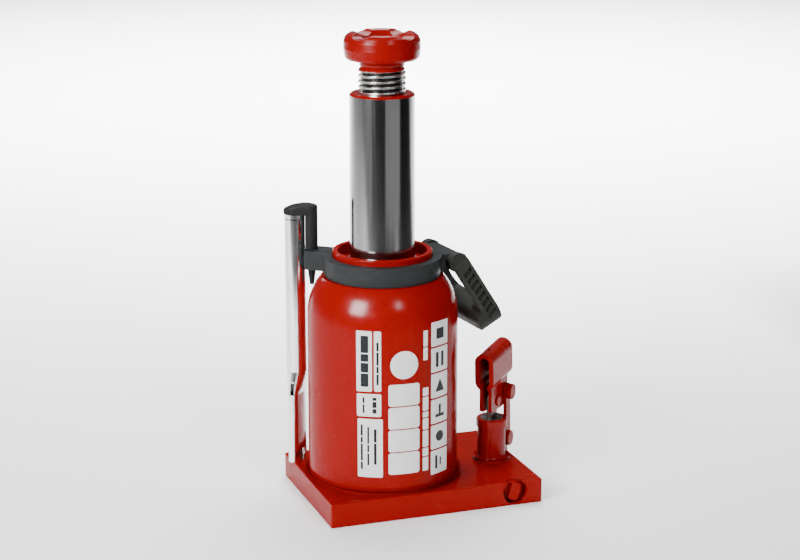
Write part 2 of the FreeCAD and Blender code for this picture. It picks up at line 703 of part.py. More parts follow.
def bail_legs():
    """The flat U of the two legs, with its inward edges eased."""
    outside = bail_plan(0, BAIL_LENGTH, BAIL_LEG_OUTER, BAIL_OUTER_ROUND, LEG_LOW)
    window = bail_plan(-1, GRIP_START, BAIL_LEG_INNER, BAIL_INNER_ROUND, LEG_LOW - 1)
    legs = outside.cut(window)
    inward = [e for e in legs.Edges if e.BoundBox.ZMax < LEG_LOW + 0.01 and e.BoundBox.XMax > 1]
    return legs.makeFillet(LEG_EASE, inward)


def bail_grip():
    """The thick bar across the far ends of the legs, rounded along its length."""
    outside = bail_plan(0, BAIL_LENGTH, BAIL_LEG_OUTER, BAIL_OUTER_ROUND, GRIP_LOW)
    half_width = BAIL_LEG_OUTER + BAIL_SPLAY
    bar = block(V(GRIP_START, -half_width, GRIP_LOW), V(BAIL_LENGTH, half_width, LEG_HIGH))
    rounded = [e for e in bar.Edges if e.BoundBox.YLength > 20
               and not (e.BoundBox.XMax < GRIP_START + 1 and e.BoundBox.ZMin > 0)]
    return bar.makeFillet(GRIP_ROUND, rounded).common(outside)


def bail_pocket(side):
    """The ribbed recess in a leg's slanted outer face, as cells with the ribs left between them."""
    cells = RIB_COUNT + 1
    step = (POCKET_END - POCKET_START + RIB_WIDTH) / cells
    cutters = []
    for index in range(cells):
        start = POCKET_START + index * step
        end = start + step - RIB_WIDTH
        outline = [V(start, 0, POCKET_HIGH), V(end, 0, POCKET_HIGH),
                   V(end + RIB_LEAN, 0, POCKET_LOW), V(start + RIB_LEAN, 0, POCKET_LOW)]
        corners = []
        for point in outline:
            face_y = bail_half_width(point.x, BAIL_LEG_OUTER) - POCKET_DEPTH
            corners.append(V(point.x, side * face_y, point.z))
        cell = Part.Face(Part.makePolygon(corners + corners[:1]))
        cutters.append(cell.extrude(V(0, side * POCKET_DEPTH * 2, 0)))
    return cutters


def bail_eye(side):
    """A leg's round eye with the pin that turns in the ear, and the squared corner above it."""
    low, high = sorted((side * BAIL_LEG_INNER, side * BAIL_LEG_OUTER))
    eye = Part.makeCylinder(BAIL_EYE_R, high - low, V(0, low, 0), Y_AXIS)
    tip = BAIL_LEG_INNER - BAIL_PIN_LENGTH
    pin = rod(BAIL_PIN_R, V(0, side * tip, 0), V(0, side * BAIL_LEG_INNER, 0))
    corner = block(V(0, low, 0), V(BAIL_CORNER.x, high, BAIL_CORNER.z))
    return [eye, pin, corner]


def carry_handle():
    """The bail, drawn hanging along +X from the pivot at the origin, then swung down to its rest."""
    frame = bail_legs().fuse(bail_grip()).removeSplitter()
    for side in (-1, 1):
        frame = frame.cut(bail_pocket(side))
    frame.rotate(ORIGIN, Y_AXIS, BAIL_ANGLE)
    handle = frame.fuse(bail_eye(-1) + bail_eye(1)).removeSplitter()
    handle.translate(V(BAIL_PIVOT_X, 0, BAIL_PIVOT_Z))
    return in_collar_frame(handle)


# ---------------------------------------------------------------- stored pump handle

def racetrack_wire(length, thickness, z):
    """A slot-shaped outline with its long side along +X."""
    half = (length - thickness) / 2.0
    r = thickness / 2.0
    return Part.Wire([Part.makeLine(V(-half, -r, z), V(half, -r, z)),
                      Part.Arc(V(half, -r, z), V(half + r, 0, z), V(half, r, z)).toShape(),
                      Part.makeLine(V(half, r, z), V(-half, r, z)),
                      Part.Arc(V(-half, r, z), V(-half - r, 0, z), V(-half, -r, z)).toShape()])


def round_wire(radius, z):
    """A circle in four arcs, which line up with the four edges of a slot-shaped outline."""
    corners = [polar(radius, angle, z) for angle in (-120, -60, 60, 120)]
    middles = [polar(radius, angle, z) for angle in (-90, 0, 90, 180)]
    return Part.Wire([Part.Arc(corners[i], middles[i], corners[(i + 1) % 4]).toShape() for i in range(4)])


def handle_form(inset):
    """The handle's outside, or its inside when inset by the wall: round above, flattened below."""
    low = BASE_HEIGHT + TOUCH - inset
    high = HANDLE_TOP + inset
    flat = [FLAT_LENGTH - 2 * inset, FLAT_THICKNESS - 2 * inset]
    radius = HANDLE_R - inset
    straight = Part.Face(racetrack_wire(*flat, low)).extrude(V(0, 0, FLAT_TOP - low))
    change = Part.makeLoft([racetrack_wire(*flat, FLAT_TOP), round_wire(radius, ROUND_BOTTOM)], True, True)
    upper = Part.Face(round_wire(radius, ROUND_BOTTOM)).extrude(V(0, 0, high - ROUND_BOTTOM))
    return straight.fuse([change, upper])


def at_handle(shape):
    placed = shape.copy()
    placed.translate(polar(HANDLE_FROM_AXIS, LUG_ANGLE))
    return placed


def handle_tube():
    tube = turned(handle_form(0.0).cut(handle_form(HANDLE_WALL)), FLAT_ANGLE)
    half = SLOT_WIDTH / 2
    slot = rounded_slab(half, (V(0, 0, SLOT_BOTTOM + half), V(0, 0, SLOT_TOP - half)), 20.0, ORIGIN, X_AXIS)
    key_half = KEY_SLOT_WIDTH / 2
    key_slot = block(V(-key_half, -20, 0), V(key_half, 20, BASE_HEIGHT + KEY_SLOT_DEPTH))
    return at_handle(tube.cut([turned(slot, SLOT_ANGLE), turned(key_slot, FLAT_ANGLE)]))


def handle_inner_tube():
    return at_handle(ring(INNER_R - INNER_WALL, INNER_R, INNER_BOTTOM, HANDLE_TOP - 0.5))


def teardrop(low, high):
    """The lid's outline: a small round over the peg and a large one over the tubes, joined by tangents."""
    reach = HANDLE_FROM_AXIS - PEG_RADIUS_FROM_AXIS
    lean = (CAP_R - COLUMN_R) / reach
    side = V(-lean, sqrt(1 - lean ** 2), 0)
    mirrored = V(side.x, -side.y, 0)
    near = V(PEG_RADIUS_FROM_AXIS, 0, low)
    far = V(HANDLE_FROM_AXIS, 0, low)
    edges = [Part.makeLine(near + side * COLUMN_R, far + side * CAP_R),
             Part.Arc(far + side * CAP_R, far + X_AXIS * CAP_R, far + mirrored * CAP_R).toShape(),
             Part.makeLine(far + mirrored * CAP_R, near + mirrored * COLUMN_R),
             Part.Arc(near + mirrored * COLUMN_R, near - X_AXIS * COLUMN_R,
                      near + side * COLUMN_R).toShape()]
    return Part.Face(Part.Wire(edges)).extrude(V(0, 0, high - low))


def cap_lid():
    """The domed lid, rounded all round its top edge."""
    low = HANDLE_TOP + TOUCH
    dome = Part.makeSphere(CAP_DOME_R, V(CAP_DOME_FROM_AXIS, 0, CAP_HIGH - CAP_DOME_R))
    lid = teardrop(low, CAP_HIGH + 5).common(dome)
    above = [e for e in lid.Edges if e.BoundBox.ZMin > low + 0.5]
    rim = [e for e in above if e.BoundBox.XLength + e.BoundBox.YLength > 1]
    return turned(lid.makeFillet(CAP_ROUND, rim), LUG_ANGLE)


def handle_cap():
    """The moulded cap: its lid, a plug in the inner tube and the column with its peg."""
    tube_at = polar(HANDLE_FROM_AXIS, LUG_ANGLE)
    peg_at = polar(PEG_RADIUS_FROM_AXIS, LUG_ANGLE)
    inside_lid = HANDLE_TOP + TOUCH + 1
    column = upright(COLUMN_R, COLLAR_TOP + TOUCH, inside_lid, peg_at.x, peg_at.y)
    peg = upright(PEG_R, PEG_TAPER_TOP, COLLAR_TOP + 1, peg_at.x, peg_at.y)
    tip = Part.makeCone(PEG_TIP_R, PEG_R, PEG_TAPER_TOP - PEG_BOTTOM, V(peg_at.x, peg_at.y, PEG_BOTTOM))
    plug = upright(INNER_R - INNER_WALL, HANDLE_TOP - PLUG_DEPTH, inside_lid, tube_at.x, tube_at.y)
    return cap_lid().fuse([column, peg, tip, plug]).removeSplitter()


# ---------------------------------------------------------------- pump and lever

def pump_cylinder():
    body = revolve([(PUMP_BORE_R + RUNNING, BASE_HEIGHT), (PUMP_WELD_R, BASE_HEIGHT),
                    (PUMP_WELD_R - 2.8, BASE_HEIGHT + 2.0), (PUMP_R, PUMP_WELD_TOP), (PUMP_R, PUMP_TOP),
                    (PUMP_BORE_R + RUNNING, PUMP_TOP)])
    anchor = V(ANCHOR_S, -LUG_FULL_HALF, ANCHOR_Z)
    round_r = LUG_BACK - ANCHOR_S
    inner = PUMP_R - 3
    post = block(V(inner, -LUG_FULL_HALF, BASE_HEIGHT), V(LUG_BACK, LUG_FULL_HALF, ANCHOR_Z))
    head = Part.makeCylinder(round_r, 2 * LUG_FULL_HALF, anchor, Y_AXIS)
    bridge = block(V(inner, -LUG_FULL_HALF, ANCHOR_Z), V(ANCHOR_S, LUG_FULL_HALF, ANCHOR_Z + round_r))
    body = body.fuse([post, head, bridge]).removeSplitter()
    body = body.cut(cross_pin(ANCHOR_PIN_R, ANCHOR_S, ANCHOR_Z, -20, 20))
    return in_pump_frame(body)


def pump_gland_nut():
    inner = PUMP_BORE_R + RUNNING
    return revolve([(inner, PUMP_TOP), (GLAND_NUT_R, PUMP_TOP), (GLAND_NUT_R, GLAND_NUT_TOP - 1.0),
                    (GLAND_NUT_R - 1.0, GLAND_NUT_TOP), (inner + 2.5, GLAND_NUT_TOP),
                    (inner + 2.5, GLAND_NUT_TOP - 3.5), (inner, GLAND_NUT_TOP - 3.5)], PUMP_X, PUMP_Y)


def pump_wiper():
    inner = PUMP_BORE_R + TOUCH
    low = GLAND_NUT_TOP - 3.5
    outer = PUMP_BORE_R + RUNNING + 2.5
    return revolve([(inner, low), (outer, low), (outer, GLAND_NUT_TOP), (inner + 1.2, GLAND_NUT_TOP),
                    (inner, GLAND_NUT_TOP - 0.8)], PUMP_X, PUMP_Y)


def pump_plunger():
    """A round plunger with a seal groove near its foot and a flat eye at its top."""
    body = upright(PUMP_BORE_R, PLUNGER_BOTTOM, PLUNGER_SHOULDER)
    body = body.cut(ring(PLUNGER_SEAL_R, PUMP_BORE_R + 1, PLUNGER_SEAL_LOW, PLUNGER_SEAL_HIGH))
    pin = V(0, -EYE_HALF, PLUNGER_PIN_Z)
    flat = block(V(-EYE_R, -EYE_HALF, PLUNGER_SHOULDER - 1), V(EYE_R, EYE_HALF, PLUNGER_PIN_Z))
    eye = Part.makeCylinder(EYE_R, 2 * EYE_HALF, pin, Y_AXIS)
    body = body.fuse([flat, eye]).removeSplitter()
    body = body.cut(cross_pin(PLUNGER_PIN_R + RUNNING, 0, PLUNGER_PIN_Z, -10, 10))
    return in_pump_frame(body)


def plunger_seal():
    return ring(PLUNGER_SEAL_R, PUMP_BORE_R, PLUNGER_SEAL_LOW, PLUNGER_SEAL_HIGH, PUMP_X, PUMP_Y)


def socket_form(inset, start, end):
    """The socket's oval, smaller by the inset, between two distances along the lever."""
    top = V(0, 0, SOCKET_TOP - SOCKET_HALF)
    bottom = V(0, 0, SOCKET_LOW + SOCKET_HALF)
    form = rounded_slab(SOCKET_HALF - inset, (bottom, top), end - start, V(start, 0, 0), X_AXIS)
    return turned(form, -SOCKET_TILT, V(0, 0, SOCKET_TILT_Z), Y_AXIS)


def lever_socket():
    """The lever: one thick sheet folded round an oval socket, its two ends running down as cheeks."""
    cheek_top = SOCKET_LOW + SOCKET_HALF
    cheeks = block(V(CHEEK_FRONT, -CHEEK_OUTER, CHEEK_BOTTOM), V(CHEEK_BACK, CHEEK_OUTER, cheek_top))
    lower = [e for e in cheeks.Edges if e.BoundBox.ZMax < CHEEK_BOTTOM + 0.01]
    cheeks = cheeks.makeFillet(CHEEK_ROUND, [e for e in lower if e.BoundBox.YLength > 5])
    outer = socket_form(0.0, SOCKET_FRONT, SOCKET_BACK)
    hollow = socket_form(SOCKET_WALL, SOCKET_FRONT - 1, SOCKET_BACK - SOCKET_END_WALL)
    gap_low = V(CHEEK_FRONT - 5, -CHEEK_INNER, CHEEK_BOTTOM - 1)
    gap = block(gap_low, V(CHEEK_BACK + 5, CHEEK_INNER, cheek_top))
    dimple_low = V(SOCKET_DIMPLE_S, 0, SOCKET_TOP - SOCKET_WALL - 4)
    dimple = rod(SOCKET_DIMPLE_R, dimple_low, dimple_low + UP * 10)
    pins = [cross_pin(PLUNGER_PIN_R, 0, PLUNGER_PIN_Z, -12, 12),
            cross_pin(FULCRUM_PIN_R, FULCRUM_S, FULCRUM_Z, -12, 12)]
    return in_pump_frame(outer.fuse(cheeks).removeSplitter().cut([hollow, gap, dimple] + pins))


def headed_pin(radius, s, z, head_radius, head_from, head_to, tail):
    """A pin with its head on the front (-Y in the pump's frame) side of the lever."""
    shank = cross_pin(radius, s, z, head_from, tail)
    head = cross_pin(head_radius, s, z, head_to, head_from)
    rim = [e for e in head.Edges if e.BoundBox.YMax < head_to + 0.01]
    return in_pump_frame(shank.fuse(head.makeChamfer(0.7, rim)).removeSplitter())


def plunger_pin():
    near = -CHEEK_OUTER
    far = CHEEK_OUTER + 1.2
    return headed_pin(PLUNGER_PIN_R, 0, PLUNGER_PIN_Z, PLUNGER_PIN_R + 1.0, near, near - 1.6, far)


def fulcrum_pin():
    near = -LINK_OUTER - FREE
    far = LINK_OUTER + 3.4
    return headed_pin(FULCRUM_PIN_R, FULCRUM_S, FULCRUM_Z, PIN_HEAD_R, near, near - 5.1, far)


def anchor_pin():
    near = -LINK_OUTER - FREE
    far = LINK_OUTER + 9.0
    return headed_pin(ANCHOR_PIN_R, ANCHOR_S, ANCHOR_Z, PIN_HEAD_R, near, near - 2.3, far)


def pin_clip(radius, s, z):
    """A snap ring on the far end of a pin, with its opening downwards."""
    start = LINK_OUTER + FREE
    disc = cross_pin(radius + 2.2, s, z, start, start + 1.5)
    opening = block(V(s - radius * 0.6, start - 1, z - radius - 4), V(s + radius * 0.6, start + 3, z))
    return in_pump_frame(disc.cut([cross_pin(radius, s, z, start - 1, start + 3), opening]))


def link_bar(side):
    """One of the two bars that tie the lever's fulcrum to the lug behind the pump."""
    low, high = sorted((side * LINK_INNER, side * LINK_OUTER))
    foot = V(ANCHOR_S, low, ANCHOR_Z)
    head = V(FULCRUM_S + LINK_EYE_OFFSET, low, FULCRUM_Z)
    ends = (V(foot.x, 0, foot.z), V(head.x, 0, head.z))
    bar = rounded_slab(LINK_HALF_WIDTH, ends, high - low, V(0, low, 0), Y_AXIS)
    eyes = [Part.makeCylinder(LINK_EYE_R - 0.5, high - low, foot, Y_AXIS),
            Part.makeCylinder(LINK_EYE_R, high - low, head, Y_AXIS)]
    holes = [cross_pin(ANCHOR_PIN_R + RUNNING, foot.x, foot.z, -20, 20),
             cross_pin(FULCRUM_PIN_R + LINK_SLACK, head.x, head.z, -20, 20)]
    return in_pump_frame(bar.fuse(eyes).removeSplitter().cut(holes))


# ---------------------------------------------------------------- release valve

def release_valve():
    """A screw with a tang that the handle's slotted end turns, closing on a ball."""
    head_y = -BASE_HALF_WIDTH + VALVE_RECESS_DEPTH

    def at(y):
        return V(VALVE_X, y, VALVE_Z)

    ball_front = VALVE_SEAT_Y - sqrt(RELEASE_BALL_R ** 2 - RELEASE_SEAT_R ** 2) - RELEASE_BALL_R
    tip_y = ball_front - FREE
    shank = rod(VALVE_R, at(head_y - 3.0), at(tip_y - 2.5))
    tip = Part.makeCone(VALVE_R, 3.0, 2.5, at(tip_y - 2.5), Y_AXIS)
    disc = rod(VALVE_HEAD_R, at(head_y - 3.0), at(head_y - FREE))
    tang = rod(VALVE_HEAD_R, at(-BASE_HALF_WIDTH + 1.2), at(head_y - 3.0))
    slab = block(V(-TANG_WIDTH / 2, -BASE_HALF_WIDTH - 1, -20), V(TANG_WIDTH / 2, 0, 20))
    slab.rotate(ORIGIN, Y_AXIS, TANG_TILT)
    slab.translate(V(VALVE_X, 0, VALVE_Z))
    groove = rod(VALVE_R + 1, at(ORING_Y), at(ORING_Y + ORING_WIDTH + 2 * TOUCH))
    groove = groove.cut(rod(ORING_INNER_R - RUNNING, at(ORING_Y - 1), at(ORING_Y + ORING_WIDTH + 2)))
    return disc.fuse([shank, tip, tang.common(slab)]).removeSplitter().cut(groove)


def valve_oring():
    start = V(VALVE_X, ORING_Y + TOUCH, VALVE_Z)
    end = V(VALVE_X, ORING_Y + TOUCH + ORING_WIDTH, VALVE_Z)
    return rod(ORING_OUTER_R, start, end).cut(rod(ORING_INNER_R, start - Y_AXIS, end + Y_AXIS))


# ---------------------------------------------------------------- everything

def label_panel(first, last, low, high):
    """A printed sticker on the tank's front, between two directions from the ram's axis."""
    inner = TANK_R + LABEL_GAP
    outer = inner + LABEL_THICKNESS
    shell = Part.makeCylinder(outer, high - low, V(0, 0, low), UP, last - first)
    shell = shell.cut(Part.makeCylinder(inner, high - low + 2, V(0, 0, low - 1), UP, 360))
    return turned(shell, first)


def main():
    os.makedirs("parts", exist_ok=True)
    export(base_plate(), "base_plate")
    export(passage_plugs(), "passage_plugs")
    export(seated_ball(CHECK_BALL_R, 2.0, PUMP_X, SUCTION_Y, CHECK_POCKET_FLOOR), "suction_ball")
    export(seated_ball(CHECK_BALL_R, 2.0, DELIVERY_X, DELIVERY_Y, CHECK_POCKET_FLOOR), "delivery_ball")
    export(valve_clip(DELIVERY_X, DELIVERY_Y, SEAT_Z - 0.7), "delivery_ball_clip")
    export(release_ball(), "release_ball")
    export(relief_ball(), "relief_ball")
    export(relief_spring(), "relief_spring")
    export(relief_screw(), "relief_screw")
    export(reservoir_tank(), "reservoir_tank")
    export(filler_plug(), "filler_plug")
    export(cylinder_tube(), "cylinder_tube")
    export(cylinder_foot_seal(), "cylinder_foot_seal")
    export(tank_seal(), "tank_seal")
    export(top_nut(), "top_nut")
    export(rod_seal(), "rod_seal")
    export(wiper_ring(), "wiper_ring")
    export(ram(), "ram")
    export(piston_retaining_ring(), "piston_retaining_ring")
    export(piston_washer(), "piston_washer")
    export(piston_cup(), "piston_cup")
    export(piston_backup_ring(), "piston_backup_ring")
    export(extension_screw(), "extension_screw")
    export(screw_stop_ring(), "screw_stop_ring")
    export(saddle(), "saddle")
    export(collar(), "collar")
    export(carry_handle(), "carry_handle")
    export(handle_tube(), "handle_tube")
    export(handle_inner_tube(), "handle_inner_tube")
    export(handle_cap(), "handle_cap")
    export(pump_cylinder(), "pump_cylinder")
    export(pump_gland_nut(), "pump_gland_nut")
    export(pump_wiper(), "pump_wiper")
    export(pump_plunger(), "pump_plunger")
    export(plunger_seal(), "plunger_seal")
    export(lever_socket(), "lever_socket")
    export(plunger_pin(), "plunger_pin")
    export(fulcrum_pin(), "fulcrum_pin")
    export(anchor_pin(), "anchor_pin")
    export(pin_clip(FULCRUM_PIN_R, FULCRUM_S, FULCRUM_Z), "fulcrum_pin_clip")
    export(pin_clip(ANCHOR_PIN_R, ANCHOR_S, ANCHOR_Z), "anchor_pin_clip")
    export(link_bar(-1), "link_bar_front")
    export(link_bar(1), "link_bar_back")
    export(release_valve(), "release_valve")
    export(valve_oring(), "valve_oring")
    export(label_panel(-129.0, -108.5, 38.0, 180.0), "rating_label")
    export(label_panel(-105.5, -50.5, 34.0, 184.0), "front_label")


main()
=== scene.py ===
"""Looks of the bottle jack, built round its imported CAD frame. Metres, in the frame's own axes."""
import json
import math
import random

import bpy
import bmesh
from mathutils import Matrix, Vector


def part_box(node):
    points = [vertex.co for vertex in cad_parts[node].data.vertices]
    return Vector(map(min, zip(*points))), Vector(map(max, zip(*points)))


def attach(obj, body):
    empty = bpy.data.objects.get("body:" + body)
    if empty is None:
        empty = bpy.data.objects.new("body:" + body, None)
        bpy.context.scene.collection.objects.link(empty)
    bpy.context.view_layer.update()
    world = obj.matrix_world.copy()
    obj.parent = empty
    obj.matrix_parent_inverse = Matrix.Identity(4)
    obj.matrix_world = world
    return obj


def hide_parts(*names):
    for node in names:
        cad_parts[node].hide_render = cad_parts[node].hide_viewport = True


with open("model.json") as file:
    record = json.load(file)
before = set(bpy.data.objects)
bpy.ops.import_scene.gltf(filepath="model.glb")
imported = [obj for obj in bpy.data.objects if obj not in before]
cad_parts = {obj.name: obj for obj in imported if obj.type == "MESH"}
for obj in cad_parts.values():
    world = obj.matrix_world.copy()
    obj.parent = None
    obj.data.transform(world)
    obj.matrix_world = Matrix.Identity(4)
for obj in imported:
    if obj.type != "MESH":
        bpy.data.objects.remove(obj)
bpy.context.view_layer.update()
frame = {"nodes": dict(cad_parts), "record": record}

MM = 0.001
BODY = "jack_body"


# ------------------------------------------------------------------ places read from the frame

def centre(node):
    low, high = (Vector(corner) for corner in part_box(node))
    return (low + high) / 2


BASE_LOW, BASE_HIGH = (Vector(corner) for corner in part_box("base_plate"))
TANK_LOW, TANK_HIGH = (Vector(corner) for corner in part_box("reservoir_tank"))
RAM_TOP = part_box("ram")[1][2]
SADDLE_LOW, SADDLE_HIGH = (Vector(corner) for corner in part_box("saddle"))
PUMP = centre("pump_gland_nut")
TUBE = centre("handle_tube")
SCREW_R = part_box("extension_screw")[1][0]
TUBE_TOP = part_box("handle_tube")[1][2]

TANK_R = 0.070
TANK_TOP = TANK_HIGH.z
SHOULDER_Z = TANK_TOP - 36.8 * MM
SHOULDER_ROUND = 56.6 * MM
TANK_LIP_R = 49.0 * MM
PUMP_R = 13.5 * MM


# ------------------------------------------------------------------ material builder

class Shade:
    """One procedural material: a Principled shader with small helpers for the nodes that feed it."""

    def __init__(self, name, color, metallic=0.0, roughness=0.5, **sockets):
        self.material = bpy.data.materials.new(name)
        self.material.use_nodes = True
        self.tree = self.material.node_tree
        self.tree.nodes.clear()
        self.shader = self.tree.nodes.new("ShaderNodeBsdfPrincipled")
        output = self.tree.nodes.new("ShaderNodeOutputMaterial")
        self.link(self.shader.outputs["BSDF"], output.inputs["Surface"])
        self.place = self.tree.nodes.new("ShaderNodeTexCoord").outputs["Object"]
        self.set("Base Color", (*color, 1.0))
        self.set("Metallic", metallic)
        self.set("Roughness", roughness)
        for socket, value in sockets.items():
            self.set(socket.replace("_", " "), value)
        self.normal = None

    def set(self, socket, value):
        self.shader.inputs[socket].default_value = value

    def link(self, start, end):
        self.tree.links.new(start, end)

    def node(self, kind, inputs=None, **settings):
        made = self.tree.nodes.new(kind)
        for key, value in settings.items():
            setattr(made, key, value)
        for key, value in (inputs or {}).items():
            if isinstance(value, bpy.types.NodeSocket):
                self.link(value, made.inputs[key])
            else:
                made.inputs[key].default_value = value
        return made

    def stretched(self, scale):
        """The object's coordinates scaled unevenly, for streaks and grain with a direction."""
        return self.node("ShaderNodeMapping", {"Vector": self.place, "Scale": scale}).outputs["Vector"]

    def noise(self, scale, detail=2.0, rough=0.5, place=None, distortion=0.0):
        inputs = {"Vector": place or self.place, "Scale": scale, "Detail": detail, "Roughness": rough,
                  "Distortion": distortion}
        return self.node("ShaderNodeTexNoise", inputs).outputs["Fac"]

    def ramp(self, value, low, high, out_low=0.0, out_high=1.0):
        inputs = {"Value": value, "From Min": low, "From Max": high,
                  "To Min": out_low, "To Max": out_high}
        return self.node("ShaderNodeMapRange", inputs, clamp=True).outputs["Result"]

    def math(self, operation, first, second=0.0):
        made = self.node("ShaderNodeMath", operation=operation)
        for index, value in enumerate((first, second)):
            if isinstance(value, bpy.types.NodeSocket):
                self.link(value, made.inputs[index])
            else:
                made.inputs[index].default_value = value
        return made.outputs[0]

    def mix(self, factor, first, second):
        made = self.node("ShaderNodeMix", data_type="RGBA")
        for key, value in ((0, factor), (6, first), (7, second)):
            if isinstance(value, bpy.types.NodeSocket):
                self.link(value, made.inputs[key])
            else:
                made.inputs[key].default_value = value if key == 0 else (*value, 1.0)
        return made.outputs[2]

    def height(self):
        """The object's own Z, in metres."""
        return self.node("ShaderNodeSeparateXYZ", {"Vector": self.place}).outputs["Z"]

    def edges(self, radius):
        """How close the surface is to one of its own sharp edges, from 0 to 1."""
        soft = self.node("ShaderNodeBevel", {"Radius": radius}, samples=4).outputs["Normal"]
        hard = self.node("ShaderNodeNewGeometry").outputs["Normal"]
        dot = self.node("ShaderNodeVectorMath", {0: soft, 1: hard}, operation="DOT_PRODUCT")
        return self.ramp(dot.outputs["Value"], 0.995, 0.80, 0.0, 1.0)

    def soften(self, radius):
        """Round off the look of sharp edges."""
        self.normal = self.node("ShaderNodeBevel", {"Radius": radius}, samples=4).outputs["Normal"]

    def bump(self, value, strength, distance):
        inputs = {"Height": value, "Strength": strength, "Distance": distance}
        if self.normal is not None:
            inputs["Normal"] = self.normal
        self.normal = self.node("ShaderNodeBump", inputs).outputs["Normal"]

    def color(self, socket):
        self.link(socket, self.shader.inputs["Base Color"])

    def roughness(self, socket):
        self.link(socket, self.shader.inputs["Roughness"])

    def gloss(self, level):
        """Specular strength that weakens to a quarter towards a grazing view."""
        facing = self.node("ShaderNodeLayerWeight", {"Blend": 0.5}).outputs["Facing"]
        strength = self.ramp(facing, 0.35, 0.85, level, level * 0.25)
        self.link(strength, self.shader.inputs["Specular IOR Level"])

    def along(self, direction):
        """How far a point lies along a direction, in metres."""
        inputs = {0: self.place, 1: direction}
        return self.node("ShaderNodeVectorMath", inputs, operation="DOT_PRODUCT").outputs["Value"]

    def done(self):
        if self.normal is not None:
            self.link(self.normal, self.shader.inputs["Normal"])
        return self.material


# ------------------------------------------------------------------ materials

RED = (0.215, 0.0014, 0.0008)
RED_DEEP = (0.16, 0.0010, 0.0007)
STEEL = (0.56, 0.56, 0.55)


def enamel(name, peel=0.10, lumps=0.0, worn=0.0, soft=0.5 * MM, gloss=0.09):
    """Red enamel: orange peel, faint shade drift and, where asked, casting lumps and rubbed edges."""
    s = Shade(name, RED, roughness=0.2, IOR=1.5)
    s.gloss(gloss)
    s.soften(soft)
    drift = s.noise(22.0, 3.0)
    paint = s.mix(s.math("MULTIPLY", s.ramp(drift, 0.35, 0.7), 0.35), RED, RED_DEEP)
    if worn:
        scratch = s.ramp(s.noise(260.0, 4.0, 0.7), 0.52, 0.66)
        mask = s.math("MULTIPLY", s.edges(0.9 * MM), scratch)
        paint = s.mix(s.math("MULTIPLY", mask, worn), paint, (0.16, 0.13, 0.12))
    s.color(paint)
    s.roughness(s.ramp(s.noise(70.0, 4.0), 0.3, 0.75, 0.14, 0.30))
    if lumps:
        s.bump(s.noise(140.0, 4.0, 0.6), lumps, 0.6 * MM)
    s.bump(s.noise(55.0, 1.0), 0.12, 0.5 * MM)
    s.bump(s.noise(620.0, 1.5), peel, 0.12 * MM)
    return s.done()


def ground_bar():
    """The ram: ground, dark-finished steel with fine rings and draw lines, and a painted rim."""
    s = Shade("ram_ground_steel", (0.3, 0.3, 0.31), metallic=1.0, roughness=0.22)
    s.gloss(0.14)
    s.soften(0.4 * MM)
    streaks = s.noise(1.0, 3.0, 0.55, s.stretched((420.0, 420.0, 9.0)))
    rings = s.noise(1.0, 2.0, 0.5, s.stretched((3.0, 3.0, 900.0)))
    cloud = s.noise(16.0, 3.0)
    steel = s.mix(s.ramp(streaks, 0.3, 0.75), (0.27, 0.27, 0.28), (0.31, 0.31, 0.315))
    steel = s.mix(s.math("MULTIPLY", s.ramp(cloud, 0.4, 0.75), 0.4), steel, (0.2, 0.195, 0.2))
    rim = s.ramp(s.height(), RAM_TOP - 2.25 * MM, RAM_TOP - 2.1 * MM)
    s.color(s.mix(rim, steel, RED))
    s.link(s.math("SUBTRACT", 1.0, rim), s.shader.inputs["Metallic"])
    s.roughness(s.ramp(s.math("ADD", streaks, rings), 0.7, 1.3, 0.12, 0.18))
    s.bump(rings, 0.01, 0.03 * MM)
    return s.done()


def thread_steel():
    """The extension screw: a bright thread with painted shade darkening its roots, painted where the
    saddle was sprayed.
    """
    s = Shade("screw_bright_steel", STEEL, metallic=1.0, roughness=0.2)
    s.gloss(0.14)
    s.soften(0.35 * MM)
    lines = s.noise(1.0, 3.0, 0.6, s.stretched((30.0, 30.0, 3000.0)))
    smear = s.noise(90.0, 3.0, 0.6)
    metal = s.mix(s.ramp(lines, 0.3, 0.7), (0.50, 0.49, 0.47), (0.72, 0.71, 0.69))
    metal = s.mix(s.math("MULTIPLY", s.ramp(smear, 0.5, 0.7), 0.5), metal, (0.22, 0.20, 0.18))
    # Painted shade: the thread turns near black towards its roots, nearer the axis, and stays bright at
    # its crests.
    level = s.stretched((1.0, 1.0, 0.0))
    out = s.node("ShaderNodeVectorMath", {0: level}, operation="LENGTH").outputs["Value"]
    metal = s.mix(s.ramp(out, SCREW_R - 2.0 * MM, SCREW_R - 0.3 * MM), (0.035, 0.033, 0.03), metal)
    overspray = s.math("ADD", s.height(), s.math("MULTIPLY", s.noise(200.0, 2.0), 2.0 * MM))
    rim = s.ramp(overspray, SADDLE_LOW.z - 3.4 * MM, SADDLE_LOW.z - 2.4 * MM)
    s.color(s.mix(rim, metal, RED))
    s.link(s.math("SUBTRACT", 1.0, rim), s.shader.inputs["Metallic"])
    s.roughness(s.ramp(smear, 0.3, 0.7, 0.14, 0.34))
    s.bump(lines, 0.08, 0.05 * MM)
    return s.done()


def plain_steel(name, color, rough_low, rough_high):
    """Plated or turned steel for the small hardware."""
    s = Shade(name, color, metallic=1.0, roughness=rough_high)
    s.soften(0.25 * MM)
    cloud = s.noise(180.0, 4.0, 0.6)
    dull = tuple(channel * 0.72 for channel in color)
    s.color(s.mix(s.ramp(cloud, 0.35, 0.7), color, dull))
    s.roughness(s.ramp(cloud, 0.3, 0.7, rough_low, rough_high))
    s.bump(s.noise(1400.0, 2.0), 0.08, 0.05 * MM)
    return s.done()


